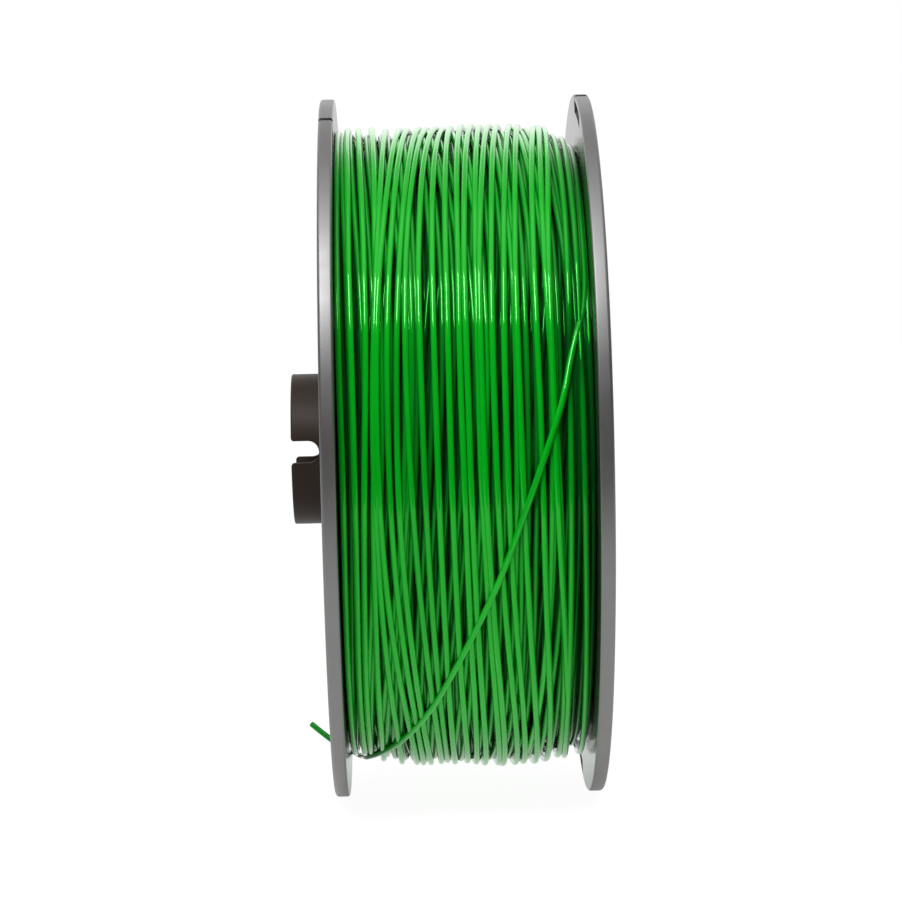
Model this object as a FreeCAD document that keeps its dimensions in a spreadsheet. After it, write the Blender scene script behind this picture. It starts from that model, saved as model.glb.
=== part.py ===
"""A wire spool: two plastic flanges on a hollow drum, wound with green plastic strand.

The spool turns on a plain hub sleeve, which goes through it from the left. The sleeve's
slotted collar stands out of the left flange and a snap ring holds its right end.

Frame: X along the spool's axis, right positive, with the origin on the axis midway between
the flanges' inner faces; Y away from the viewer; Z up. Lengths are in millimetres.
"""
import FreeCAD, Part
import math
import os

import Sketcher

Vector = FreeCAD.Vector

# Driving dimensions
SIZES = [
    ("flange_diameter", 200.0, "outside of both flanges"),
    ("inner_gap", 68.0, "between the flanges' inner faces"),
    ("rim_thickness", 4.0, "flange at its rim and at its hub pad"),
    ("rim_width", 7.0, "thick rim, measured along the radius"),
    ("web_thickness", 2.4, "flange between rim and hub pad"),
    ("web_rib_width", 2.0, "radial ribs on the flange's outer face"),
    ("pad_wall", 2.5, "hub pad round the snap ring's recess"),
    ("land_length", 8.0, "bearing land inside the drum"),
    ("land_wall", 3.15, "bearing land's wall"),
    ("barrel_diameter", 100.0, "drum under the strand"),
    ("barrel_wall", 2.5, "drum's outer wall"),
    ("tube_clearance", 1.0, "radial, between the drum's tube and the sleeve"),
    ("drum_rib_width", 2.0, "radial ribs between the drum's barrel and tube"),
    ("seat_clearance", 0.1, "between parts that push together"),
    ("lug_width", 8.0, "snap lugs on the spigot, along the circle"),
    ("lug_length", 2.0, "snap lugs along the axis"),
    ("lug_offset", 1.4, "snap lugs from the flange's inner face"),
    ("lug_proud", 1.4, "snap lugs stand out of the spigot"),
    ("spigot_lip", 0.6, "spigot beyond its snap lugs"),
    ("sight_width", 6.0, "long slots that show how much strand is left"),
    ("sight_from_barrel", 8.0, "inner end of a sight slot from the drum's barrel"),
    ("sight_from_rim", 9.0, "outer end of a sight slot from the thick rim"),
    ("clip_inset", 3.1, "middle of the strand clip's slot below the rim"),
    ("clip_height", 3.4, "strand clip's slot along the radius"),
    ("clip_span", 14.0, "degrees that the clip's slot covers"),
    ("clip_mouth", 2.0, "slit from the rim into the clip's slot"),
    ("tongue_drop", 0.8, "right clips' tongue below the rim, the left ones are level"),
    ("left_clip_turn", -22.6, "degrees from the top to the left clip's mouth"),
    ("right_clip_turn", 8.0, "degrees from the top to the right clip's mouth"),
    ("spindle_bore", 36.0, "bore of the hub sleeve"),
    ("sleeve_wall", 2.0, "hub sleeve where the flanges turn on it"),
    ("running_clearance", 0.05, "radial, between sleeve and flange bores"),
    ("end_play", 0.15, "axial, at each end of the sleeve"),
    ("collar_step", 1.6, "sleeve's collar above the sleeve"),
    ("collar_length", 10.3, "collar beyond the left flange's rim"),
    ("dog_slot_width", 6.2, "slots across the collar"),
    ("dog_slot_floor", 2.4, "collar left between the slots and the flange"),
    ("dog_slot_lead", 0.9, "lead-in at the slots' mouths"),
    ("snap_recess_face", 1.4, "right hub face from the flange's inner face"),
    ("snap_recess_clearance", 0.9, "radial, round the snap ring in its recess"),
    ("snap_ring_width", 4.35, "snap ring along the radius"),
    ("snap_ring_thickness", 1.5, "snap ring along the axis"),
    ("snap_ring_opening", 9.0, "gap in the snap ring"),
    ("snap_groove_depth", 0.8, "snap ring's groove in the sleeve"),
    ("strand_diameter", 1.75, "plastic strand"),
    ("winding_below_rim", 11.0, "outer turns at the crown, below the rim"),
    ("left_shoulder", 16.0, "width of the winding's slope at the left flange"),
    ("left_fall", 4.0, "how far that slope falls"),
    ("right_shoulder", 10.0, "width of the winding's slope at the right flange"),
    ("right_fall", 4.0, "how far that slope falls"),
    ("corner_allowance", 0.25, "corners of the faceted strand beyond its round"),
    ("winding_clearance", 0.3, "between the strand and what it lies against"),
    ("core_clearance", 0.6, "between the outer turns and the inner layers"),
    ("turns_shown", 6.5, "turns of the outer layer"),
    ("turn_sway", 1.6, "how far neighbouring turns lean to and fro"),
    ("last_turn_angle", 37.0, "degrees above the viewer where the tail starts"),
    ("overcut", 1.0, "how far cuts and ribs run past the faces they meet"),
]
RIBS = 6
SNAP_LUGS = 3
SIGHT_SLOTS = 3
CLIPS = 2
WINDING_SIDES = 4
TAIL_SIDES = 4

doc = FreeCAD.newDocument("wire_spool")
sheet = doc.addObject("Spreadsheet::Sheet", "dims")
for row, (alias, value, note) in enumerate(SIZES, start=1):
    sheet.set(f"A{row}", note)
    sheet.set(f"B{row}", str(value))
    sheet.setAlias(f"B{row}", alias)
doc.recompute()
size = {alias: float(sheet.get(alias)) for alias, value, note in SIZES}


# Sketch and feature helpers
def new_sketch(body, plane, name, turn=None):
    """An empty sketch on one of the body's planes; turn is an expression in degrees about X."""
    sketch = body.newObject("Sketcher::SketchObject", name)
    origin_plane = [f for f in body.Origin.OriginFeatures if f.Role == plane][0]
    sketch.AttachmentSupport = [(origin_plane, "")]
    sketch.MapMode = "FlatFace"
    if turn:
        sketch.AttachmentOffset = FreeCAD.Placement(Vector(), FreeCAD.Rotation(Vector(1, 0, 0), 1))
        sketch.setExpression("AttachmentOffset.Rotation.Angle", turn)
    return sketch


def add_outline(sketch, corners):
    """A closed outline of straight lines. Each corner is a pair of sheet expressions."""
    first = sketch.GeometryCount
    count = len(corners)
    step = 2 * math.pi / count
    start = [Vector(math.cos(step * i), math.sin(step * i), 0) for i in range(count)]
    for i in range(count):
        sketch.addGeometry(Part.LineSegment(start[i], start[(i + 1) % count]))
    for i in range(count):
        after = first + (i + 1) % count
        sketch.addConstraint(Sketcher.Constraint("Coincident", first + i, 2, after, 1))
    for i, (across, up) in enumerate(corners):
        for kind, expression in (("DistanceX", across), ("DistanceY", up)):
            rule = Sketcher.Constraint(kind, -1, 1, first + i, 1, 1.0)
            index = sketch.addConstraint(rule)
            sketch.setExpression(f"Constraints[{index}]", expression)
    return sketch


def rectangle(low_x, low_y, high_x, high_y):
    return [(low_x, low_y), (high_x, low_y), (high_x, high_y), (low_x, high_y)]


def add_circle(sketch, across, up, radius):
    index = sketch.addGeometry(Part.Circle(Vector(1, 1, 0), Vector(0, 0, 1), 1))
    for kind, expression in (("DistanceX", across), ("DistanceY", up)):
        rule = sketch.addConstraint(Sketcher.Constraint(kind, -1, 1, index, 3, 1.0))
        sketch.setExpression(f"Constraints[{rule}]", expression)
    rule = sketch.addConstraint(Sketcher.Constraint("Radius", index, 1.0))
    sketch.setExpression(f"Constraints[{rule}]", radius)
    return sketch


def feature(body, kind, name, sketch, **settings):
    """A sketch-based feature; a setting given as text is bound to the sheet."""
    made = body.newObject(f"PartDesign::{kind}", name)
    made.Profile = sketch
    for key, value in settings.items():
        if key in ("Length", "Angle"):
            made.setExpression(key, value)
        else:
            setattr(made, key, value)
    return made


def revolve(body, name, sketch, kind="Revolution", **settings):
    return feature(body, kind, name, sketch, ReferenceAxis=(sketch, ["H_Axis"]), **settings)


def pattern(body, name, originals, count):
    """Copies of features, evenly round the spool's axis."""
    made = body.newObject("PartDesign::PolarPattern", name)
    made.Originals = originals
    made.Axis = ([f for f in body.Origin.OriginFeatures if f.Role == "X_Axis"][0], [""])
    made.Angle = 360
    made.Occurrences = count
    body.Tip = made
    return made


def new_body(label):
    body = doc.addObject("PartDesign::Body", label)
    body.Label = label
    return body


# Radii and places that several pieces share
RIM = "dims.flange_diameter / 2"
RIM_INSIDE = RIM + " - dims.rim_width"
BARREL = "dims.barrel_diameter / 2"
BARREL_INSIDE = BARREL + " - dims.barrel_wall"
SPIGOT = BARREL_INSIDE + " - dims.seat_clearance"
SPIGOT_END = "dims.lug_offset + dims.lug_length + dims.spigot_lip"
SLEEVE = "dims.spindle_bore / 2 + dims.sleeve_wall"
BORE = SLEEVE + " + dims.running_clearance"
LAND = BORE + " + dims.land_wall"
GROOVE_SLACK = "dims.seat_clearance / 2"
GROOVE = SLEEVE + " - dims.snap_groove_depth"
SNAP_RING_INSIDE = f"{GROOVE} + {GROOVE_SLACK}"
SNAP_RING_OUTSIDE = SNAP_RING_INSIDE + " + dims.snap_ring_width"
RECESS = SNAP_RING_OUTSIDE + " + dims.snap_recess_clearance"
PAD = RECESS + " + dims.pad_wall"


# Flanges
def flange(label, hub_corners, clip_turn, clip_reversed, tongue_drop=""):
    """One flange with its inner face at X = 0 and its outer face towards +X."""
    body = new_body(label)
    section = add_outline(new_sketch(body, "XZ_Plane", label + "_section"), [
        ("-dims.land_length", BORE),
        ("-dims.land_length", LAND),
        (f"-({SPIGOT_END})", LAND),
        (f"-({SPIGOT_END})", SPIGOT),
        ("0", SPIGOT),
        ("0", RIM),
        ("dims.rim_thickness", RIM),
        ("dims.rim_thickness", RIM_INSIDE),
        ("dims.web_thickness", RIM_INSIDE),
        ("dims.web_thickness", PAD),
        ("dims.rim_thickness", PAD),
    ] + hub_corners)
    revolve(body, label + "_disc", section)

    # ribs on the outer face, one over each of the drum's ribs
    rib = add_outline(
        new_sketch(body, "XZ_Plane", label + "_rib_side", f"{180 / RIBS} deg"),
        rectangle("dims.web_thickness / 2", PAD + " - dims.overcut",
                  "dims.rim_thickness", RIM_INSIDE + " + dims.overcut"))
    web_rib = feature(body, "Pad", label + "_web_rib", rib, SideType="Symmetric",
                      Length="dims.web_rib_width")
    pattern(body, label + "_web_ribs", [web_rib], RIBS)

    # lugs that snap into the drum's windows
    side = add_outline(
        new_sketch(body, "XZ_Plane", label + "_lug_side"),
        rectangle("-dims.lug_offset - dims.lug_length", SPIGOT + " - dims.overcut",
                  "-dims.lug_offset", SPIGOT + " + dims.lug_proud"))
    lug = feature(body, "Pad", label + "_lug", side, SideType="Symmetric", Length="dims.lug_width")
    pattern(body, label + "_lugs", [lug], SNAP_LUGS)

    # long slots with round ends beside the winding, the first one straight down
    sight = new_sketch(body, "YZ_Plane", label + "_sight_outline")
    round_slot(sight, "dims.sight_width / 2",
               f"-({RIM_INSIDE}) + dims.sight_from_rim + dims.sight_width / 2",
               f"-({BARREL}) - dims.sight_from_barrel - dims.sight_width / 2")
    slot = feature(body, "Pocket", label + "_sight_slot", sight, Type="ThroughAll",
                   SideType="Symmetric")
    pattern(body, label + "_sight_slots", [slot], SIGHT_SLOTS)

    # strand clips: a slot along the rim under a springy tongue, open at its mouth
    turn = f"dims.{clip_turn} * 1 deg"
    middle = RIM + " - dims.clip_inset"
    inner, outer = "-dims.overcut", "dims.rim_thickness + dims.overcut"
    clip = new_sketch(body, "XZ_Plane", label + "_clip_section", turn)
    add_outline(clip, rectangle(inner, middle + " - dims.clip_height / 2",
                                outer, middle + " + dims.clip_height / 2"))
    if tongue_drop:
        add_outline(clip, rectangle(inner, RIM + " - " + tongue_drop,
                                    outer, RIM + " + dims.overcut"))
    groove = revolve(body, label + "_clip_slot", clip, "Groove", Angle="dims.clip_span * 1 deg",
                     Reversed=clip_reversed)
    mouth = add_outline(new_sketch(body, "XZ_Plane", label + "_mouth_side", turn),
                        rectangle(inner, middle, outer, RIM + " + dims.overcut"))
    slit = feature(body, "Pocket", label + "_clip_mouth", mouth, SideType="Symmetric",
                   Length="dims.clip_mouth")
    pattern(body, label + "_clips", [groove, slit], CLIPS)
    return body


def round_slot(sketch, radius, low, high):
    """A slot with round ends along the sketch's Y axis, from one end's centre to the other's."""
    across = Vector(0, 0, 1)
    side = size["sight_width"] / 2
    near = -size["barrel_diameter"] / 2 - size["sight_from_barrel"] - side
    far = -size["flange_diameter"] / 2 + size["rim_width"] + size["sight_from_rim"] + side
    lower = Part.ArcOfCircle(Part.Circle(Vector(0, far, 0), across, side), math.pi, 2 * math.pi)
    upper = Part.ArcOfCircle(Part.Circle(Vector(0, near, 0), across, side), 0, math.pi)
    sketch.addGeometry([lower, upper,
                        Part.LineSegment(Vector(side, far, 0), Vector(side, near, 0)),
                        Part.LineSegment(Vector(-side, near, 0), Vector(-side, far, 0))])
    for one, end, other, start in ((0, 2, 2, 1), (2, 2, 1, 1), (1, 2, 3, 1), (3, 2, 0, 1)):
        sketch.addConstraint(Sketcher.Constraint("Tangent", one, end, other, start))
    sketch.addConstraint(Sketcher.Constraint("PointOnObject", 0, 3, -2))
    sketch.addConstraint(Sketcher.Constraint("PointOnObject", 1, 3, -2))
    for index, place, start in ((0, low, far), (1, high, near)):
        rule = sketch.addConstraint(Sketcher.Constraint("DistanceY", -1, 1, index, 3, start))
        sketch.setExpression(f"Constraints[{rule}]", place)
    rule = sketch.addConstraint(Sketcher.Constraint("Radius", 0, side))
    sketch.setExpression(f"Constraints[{rule}]", radius)
    return sketch


left_flange = flange("left_flange", [("dims.rim_thickness", BORE)], "left_clip_turn", False)
left_flange.Placement = FreeCAD.Placement(Vector(), FreeCAD.Rotation(Vector(0, 0, 1), 180))
left_flange.setExpression("Placement.Base.x", "-dims.inner_gap / 2")

right_flange = flange("right_flange", [
    ("dims.rim_thickness", RECESS),
    ("dims.snap_recess_face", RECESS),
    ("dims.snap_recess_face", BORE),
], "right_clip_turn", True, "dims.tongue_drop")
right_flange.setExpression("Placement.Base.x", "dims.inner_gap / 2")

# Drum: a barrel and an inner tube, joined by radial ribs
drum = new_body("drum")
TUBE_END = "dims.inner_gap / 2 - dims.land_length - dims.seat_clearance"
barrel_section = add_outline(
    new_sketch(drum, "XZ_Plane", "barrel_section"),
    rectangle("-dims.inner_gap / 2", BARREL_INSIDE, "dims.inner_gap / 2", BARREL))
revolve(drum, "barrel", barrel_section)
rib_side = add_outline(
    new_sketch(drum, "XZ_Plane", "drum_rib_side", f"{180 / RIBS} deg"),
    rectangle(f"-({TUBE_END})", LAND + " - dims.overcut",
              TUBE_END, BARREL_INSIDE + " + dims.overcut"))
drum_rib = feature(drum, "Pad", "drum_rib", rib_side, SideType="Symmetric",
                   Length="dims.drum_rib_width")
pattern(drum, "drum_ribs", [drum_rib], RIBS)
tube_section = add_outline(
    new_sketch(drum, "XZ_Plane", "tube_section"),
    rectangle(f"-({TUBE_END})", SLEEVE + " + dims.tube_clearance", TUBE_END, LAND))
revolve(drum, "tube", tube_section)
window_side = new_sketch(drum, "XZ_Plane", "drum_window_side")
NEAR_FLANGE = "dims.inner_gap / 2 - dims.lug_offset + dims.seat_clearance"
OFF_FLANGE = "dims.inner_gap / 2 - dims.lug_offset - dims.lug_length - dims.seat_clearance"
WINDOW_LOW = BARREL_INSIDE + " - dims.overcut"
WINDOW_HIGH = BARREL + " + dims.overcut"
add_outline(window_side, rectangle(OFF_FLANGE, WINDOW_LOW, NEAR_FLANGE, WINDOW_HIGH))
add_outline(window_side, rectangle(f"-({NEAR_FLANGE})", WINDOW_LOW,
                                   f"-({OFF_FLANGE})", WINDOW_HIGH))
window = feature(drum, "Pocket", "drum_window", window_side, SideType="Symmetric",
                 Length="dims.lug_width + 4 * dims.seat_clearance")
pattern(drum, "drum_windows", [window], SNAP_LUGS)

# Hub sleeve: a plain bush with a slotted collar at its left end
hub_sleeve = new_body("hub_sleeve")
COLLAR = SLEEVE + " + dims.collar_step"
COLLAR_END = "-dims.inner_gap / 2 - dims.rim_thickness - dims.collar_length"
COLLAR_FOOT = "-dims.inner_gap / 2 - dims.rim_thickness - dims.end_play"
SLEEVE_END = "dims.inner_gap / 2 + dims.rim_thickness"
RING_NEAR = "dims.inner_gap / 2 + dims.snap_recess_face + dims.end_play"
RING_FAR = RING_NEAR + " + dims.snap_ring_thickness"
sleeve_section = add_outline(new_sketch(hub_sleeve, "XZ_Plane", "sleeve_section"), [
    (COLLAR_END, "dims.spindle_bore / 2"),
    (COLLAR_END, COLLAR),
    (COLLAR_FOOT, COLLAR),
    (COLLAR_FOOT, SLEEVE),
    (f"{RING_NEAR} - {GROOVE_SLACK}", SLEEVE),
    (f"{RING_NEAR} - {GROOVE_SLACK}", GROOVE),
    (f"{RING_FAR} + {GROOVE_SLACK}", GROOVE),
    (f"{RING_FAR} + {GROOVE_SLACK}", SLEEVE),
    (SLEEVE_END, SLEEVE),
    (SLEEVE_END, "dims.spindle_bore / 2"),
])
revolve(hub_sleeve, "sleeve_bush", sleeve_section)
HALF_SLOT = "dims.dog_slot_width / 2"
SLOT_BOTTOM = f"{COLLAR_END} + dims.collar_length - dims.dog_slot_floor - {HALF_SLOT}"
slot_round = add_circle(new_sketch(hub_sleeve, "XZ_Plane", "dog_slot_round"),
                        SLOT_BOTTOM, "0", HALF_SLOT)
feature(hub_sleeve, "Pocket", "dog_slot_bottom", slot_round, Type="ThroughAll",
        SideType="Symmetric")
MOUTH = HALF_SLOT + " + dims.dog_slot_lead"
slot_side = add_outline(new_sketch(hub_sleeve, "XZ_Plane", "dog_slot_side"), [
    (SLOT_BOTTOM, f"-{HALF_SLOT}"),
    (SLOT_BOTTOM, HALF_SLOT),
    (COLLAR_END + " + dims.dog_slot_lead", HALF_SLOT),
    (COLLAR_END, MOUTH),
    (COLLAR_END + " - dims.overcut", MOUTH),
    (COLLAR_END + " - dims.overcut", f"-({MOUTH})"),
    (COLLAR_END, f"-({MOUTH})"),
    (COLLAR_END + " + dims.dog_slot_lead", f"-{HALF_SLOT}"),
])
feature(hub_sleeve, "Pocket", "dog_slots", slot_side, Type="ThroughAll", SideType="Symmetric")

# Snap ring in the sleeve's groove, open at the bottom
snap_ring = new_body("sleeve_snap_ring")
ring_section = add_outline(
    new_sketch(snap_ring, "XZ_Plane", "ring_section"),
    rectangle(RING_NEAR, SNAP_RING_INSIDE, RING_FAR, SNAP_RING_OUTSIDE))
revolve(snap_ring, "ring", ring_section)
opening = add_outline(
    new_sketch(snap_ring, "XZ_Plane", "ring_opening_side"),
    rectangle(RING_NEAR + " - dims.overcut", f"-({SNAP_RING_OUTSIDE}) - dims.overcut",
              RING_FAR + " + dims.overcut", f"-({GROOVE}) / 2"))
feature(snap_ring, "Pocket", "ring_opening", opening, SideType="Symmetric",
        Length="dims.snap_ring_opening")

# Inner layers of strand: a plain ring with sloping shoulders under the outer turns
CORE = (RIM + " - dims.winding_below_rim - dims.strand_diameter - dims.corner_allowance"
        " - dims.core_clearance")
CORE_END = "dims.inner_gap / 2 - dims.winding_clearance"
strand_core = new_body("strand_inner_layers")
core_section = add_outline(new_sketch(strand_core, "XZ_Plane", "core_section"), [
    (f"-({CORE_END})", BARREL + " + dims.winding_clearance"),
    (f"-({CORE_END})", CORE + " - dims.left_fall"),
    ("-dims.inner_gap / 2 + dims.left_shoulder", CORE),
    ("dims.inner_gap / 2 - dims.right_shoulder", CORE),
    (CORE_END, CORE + " - dims.right_fall"),
    (CORE_END, BARREL + " + dims.winding_clearance"),
])
revolve(strand_core, "core_ring", core_section)


# Outer turns: one unbroken strand from the left flange to the right one
def winding_radius(x):
    """Radius over the outer turns at x, with the crown and its two shoulders."""
    half = size["inner_gap"] / 2
    left = max(0.0, size["left_shoulder"] - half - x) / size["left_shoulder"]
    right = max(0.0, x - half + size["right_shoulder"]) / size["right_shoulder"]
    fall = size["left_fall"] * left + size["right_fall"] * right
    return size["flange_diameter"] / 2 - size["winding_below_rim"] - fall


def strand_point(turn):
    """Middle of the strand after a number of turns, counted from the left flange."""
    reach = size["inner_gap"] / 2 - size["strand_diameter"] / 2
    reach -= size["corner_allowance"] + size["winding_clearance"] + size["turn_sway"]
    left = size["turns_shown"] - turn
    x = reach * (1 - 2 * left / size["turns_shown"])
    x += size["turn_sway"] * math.cos(3 * math.pi * left)
    radius = winding_radius(x) - size["strand_diameter"] / 2
    angle = math.radians(size["last_turn_angle"] + 360 * (size["turns_shown"] - turn))
    return Vector(x, -radius * math.cos(angle), radius * math.sin(angle))


def strand_direction(turn):
    """The strand's direction there, measured over a thousandth of a turn."""
    step = 0.001
    return (strand_point(turn + step) - strand_point(turn - step)).normalize()


def arc_from(start, direction, end):
    """The arc that leaves start along direction and reaches end."""
    chord = end - start
    along = chord * (1 / chord.Length)
    aside = direction - along * direction.dot(along)
    bend = direction.getAngle(along)
    rise = chord.Length / 2 * math.tan(bend / 2)
    middle = start + chord * 0.5 + aside.normalize() * rise
    return Part.Arc(start, middle, end).toShape()


def biarc(start, out, end, into):
    """Two arcs that join start to end and touch both directions."""
    span = end - start
    both = out + into
    bend = 2 * (1 - out.dot(into))
    pull = span.dot(both)
    reach = (math.sqrt(pull * pull + bend * span.dot(span)) - pull) / bend
    joint = (start + out * reach + end - into * reach) * 0.5
    return [arc_from(start, out, joint), arc_from(end, into * -1, joint)]


def faceted_section(centre, direction, side_count, radius):
    """A regular outline square to the path, one corner away from the axis."""
    outward = Vector(0, centre.y, centre.z).normalize()
    outward = (outward - direction * outward.dot(direction)).normalize()
    aside = direction.cross(outward)
    corners = []
    for i in range(side_count + 1):
        angle = 2 * math.pi * i / side_count
        corners.append(centre + (outward * math.cos(angle) + aside * math.sin(angle)) * radius)
    return Part.makePolygon(corners)


def least_gap(points, apart, diameter):
    """Least gap between a strand and itself, on points, leaving out near neighbours."""
    least = 1e9
    for i, one in enumerate(points):
        for other in points[i + apart:i + 2 * apart + apart // 2]:
            least = min(least, one.distanceToPoint(other))
    return least - diameter


spans = round(2 * size["turns_shown"])
turns = [size["turns_shown"] * i / spans for i in range(spans + 1)]
path = []
straight = strand_direction(0) * size["strand_diameter"]
path.append(Part.makeLine(strand_point(0) - straight, strand_point(0)))
for here, there in zip(turns, turns[1:]):
    path += biarc(strand_point(here), strand_direction(here),
                  strand_point(there), strand_direction(there))
last_point = strand_point(turns[-1])
last_direction = strand_direction(turns[-1])
tail_start = last_point + last_direction * size["strand_diameter"]
path.append(Part.makeLine(last_point, tail_start))


def strand_solid(path, start, direction, side_count):
    """The strand's solid along a path; its flat sides hold as much as the round strand does."""
    share = 2 * math.pi / (side_count * math.sin(2 * math.pi / side_count))
    radius = size["strand_diameter"] / 2 * math.sqrt(share)
    wire = Part.Wire(Part.__sortEdges__(path))
    shell = Part.BRepOffsetAPI.MakePipeShell(wire)
    shell.add(faceted_section(start, direction, side_count, radius))
    shell.build()
    shell.makeSolid()
    return shell.shape(), wire


def compare_volume(label, solid, wire):
    section = math.pi * size["strand_diameter"] ** 2 / 4
    print(f"{label}: {wire.Length:.1f} mm long, volume {solid.Volume:.1f} mm3,",
          f"section times length {section * wire.Length:.1f} mm3")


start = strand_point(0) - straight
solid, wire = strand_solid(path, start, strand_direction(0), WINDING_SIDES)
compare_volume("outer turns", solid, wire)
SAMPLES = 48
samples = [strand_point(size["turns_shown"] * i / (spans * SAMPLES // 2))
           for i in range(spans * SAMPLES // 2 + 1)]
apart = SAMPLES // 2
print(f"outer turns: least gap {least_gap(samples, apart, size['strand_diameter']):.2f} mm")
winding = doc.addObject("Part::Feature", "strand_outer_turns")
winding.Label = "strand_outer_turns"
winding.Shape = solid

# Tail: the strand's free end. It crosses the winding on the viewer's side, goes under it to
# the far side and out through the left flange's lower clip. Points after the first, in
# millimetres, chosen by hand.
TAIL_ROUTE = [
    (32.7, -74.9, 41.1),
    (28.5, -82.5, 28.9),
    (25.7, -88.4, 15.8),
    (22.9, -90.6, 7.6),
    (16.7, -90.5, -9.3),
    (9.4, -86.3, -29.0),
    (4.6, -81.9, -39.6),
    (-3.5, -71.8, -55.9),
    (-10.5, -59.0, -69.2),
    (-17.8, -45.3, -78.5),
    (-23.6, -32.5, -83.7),
    (-29.1, -16.0, -87.6),
    (-29.7, 2.9, -90.0),
    (-31.7, 16.1, -91.5),
    (-33.2, 29.4, -92.4),
    (-38.8, 34.9, -90.8),
    (-46.3, 40.9, -85.2),
]
ARC_SHARE = 0.45


def rounded_route(points):
    """Straight runs joined by tangent arcs, each as large as its two runs allow."""
    edges = []
    radii = []
    here = points[0]
    for before, corner, after in zip(points, points[1:], points[2:]):
        back = (before - corner)
        ahead = (after - corner)
        reach = ARC_SHARE * min(back.Length, ahead.Length)
        half_turn = (math.pi - back.getAngle(ahead)) / 2
        radii.append(reach / math.tan(half_turn))
        arc_start = corner + back.normalize() * reach
        arc_end = corner + ahead.normalize() * reach
        edges.append(Part.makeLine(here, arc_start))
        edges.append(arc_from(arc_start, back * -1, arc_end))
        here = arc_end
    edges.append(Part.makeLine(here, points[-1]))
    return edges, radii


tail_points = [tail_start] + [Vector(*point) for point in TAIL_ROUTE]
tail_path, radii = rounded_route(tail_points)
solid, wire = strand_solid(tail_path, tail_start, last_direction, TAIL_SIDES)
compare_volume("tail", solid, wire)
print("tail radii:", " ".join(f"{radius:.0f}" for radius in radii), "mm")
tail = doc.addObject("Part::Feature", "strand_tail")
tail.Label = "strand_tail"
tail.Shape = solid

# Checks, then one STEP file for each piece
doc.recompute()
for item in doc.Objects:
    if "Invalid" in item.State or "Error" in item.State:
        raise RuntimeError(f"{item.Name} failed: {item.State}")
pieces = [left_flange, right_flange, drum, hub_sleeve, snap_ring, strand_core, winding, tail]
for piece in pieces:
    if piece.Shape.isNull() or not piece.Shape.isValid():
        raise RuntimeError(f"{piece.Label} has no valid shape")
os.makedirs("parts", exist_ok=True)
for piece in pieces:
    piece.Shape.exportStep(f"parts/{piece.Label}.step")
    box = piece.Shape.BoundBox
    print(f"{piece.Label}: {len(piece.Shape.Solids)} solid, {piece.Shape.Volume:.0f} mm3,",
          f"X {box.XMin:.2f} to {box.XMax:.2f}, Y {box.YMin:.2f} to {box.YMax:.2f},",
          f"Z {box.ZMin:.2f} to {box.ZMax:.2f}")
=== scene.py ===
# %% [markdown]
# # A spool of green plastic strand
#
# The object is a plastic reel, 200 mm across, wound with about a kilogram of glossy green
# strand. The CAD model gives every size and place, and this file dresses it: it models the
# winding strand by strand, gives the flanges and the hub sleeve their rounded edges, and
# adds finishes, a lamp in a white tent and the camera.
#
# The frame is the CAD model's: X along the reel's axis to the right, Y away from the
# viewer, Z up. Blender works in metres, so sizes given in millimetres are multiplied by MM.

# %% Load the CAD model
import math

import bmesh
import bpy
import numpy as np
from mathutils import Matrix, Vector


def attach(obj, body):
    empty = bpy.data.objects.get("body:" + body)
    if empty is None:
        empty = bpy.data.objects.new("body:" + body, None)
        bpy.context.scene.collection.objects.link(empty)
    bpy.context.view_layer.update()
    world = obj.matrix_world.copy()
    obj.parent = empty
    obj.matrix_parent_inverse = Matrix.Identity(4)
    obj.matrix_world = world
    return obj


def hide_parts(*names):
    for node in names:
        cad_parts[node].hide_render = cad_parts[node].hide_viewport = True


MM = 0.001
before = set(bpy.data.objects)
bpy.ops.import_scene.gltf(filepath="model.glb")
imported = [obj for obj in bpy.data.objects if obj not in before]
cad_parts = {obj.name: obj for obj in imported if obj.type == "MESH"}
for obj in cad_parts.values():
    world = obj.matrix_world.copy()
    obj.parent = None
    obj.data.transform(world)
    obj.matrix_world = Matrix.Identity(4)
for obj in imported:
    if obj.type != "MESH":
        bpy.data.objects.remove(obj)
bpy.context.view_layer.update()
print("CAD nodes:", ", ".join(sorted(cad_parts)))

# %% [markdown]
# ## Sizes
#
# These repeat the CAD model's sizes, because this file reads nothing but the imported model.
# A maker keeps such numbers in one place, so that a piece that is modelled again here still
# fits the pieces around it. Names say what is measured: a rim, the web inside it, the pad
# round the hub, the spigot that plugs into the drum, and so on outwards from the axis.

# %% Sizes of the reel, in millimetres
FLANGE_RADIUS = 100.0
INNER_FACE, OUTER_FACE = 34.0, 38.0
RIM_INSIDE = 93.0
WEB_THICKNESS = 2.4
RIB_WIDTH, RIBS = 2.0, 6
PAD_RADIUS = 27.0
RECESS_RADIUS, RECESS_FACE = 24.5, 35.4
SPIGOT_RADIUS, SPIGOT_LENGTH = 47.4, 4.0
LAND_RADIUS, LAND_LENGTH = 23.2, 8.0
BORE_RADIUS = 20.05
LUG_WIDTH, LUG_LENGTH, LUG_OFFSET, LUG_PROUD = 8.0, 2.0, 1.4, 1.4
SIGHT_WIDTH, SIGHT_LOW, SIGHT_HIGH = 6.0, 58.0, 84.0
CLIP_LOW, CLIP_HIGH, CLIP_SPAN, CLIP_MOUTH = 95.2, 98.6, 14.0, 2.0
SLEEVE_RADIUS, SLEEVE_BORE = 20.0, 18.0
COLLAR_RADIUS, COLLAR_LENGTH, COLLAR_FOOT = 21.6, 10.3, -38.15
DOG_SLOT_WIDTH, DOG_SLOT_FLOOR, DOG_SLOT_LEAD = 6.2, 2.4, 0.9
GROOVE_RADIUS, GROOVE_START, GROOVE_END = 19.2, 35.55, 37.05
DRUM_RADIUS = 50.0
STRAND = 1.75
CROWN_RADIUS = 91.4
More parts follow.
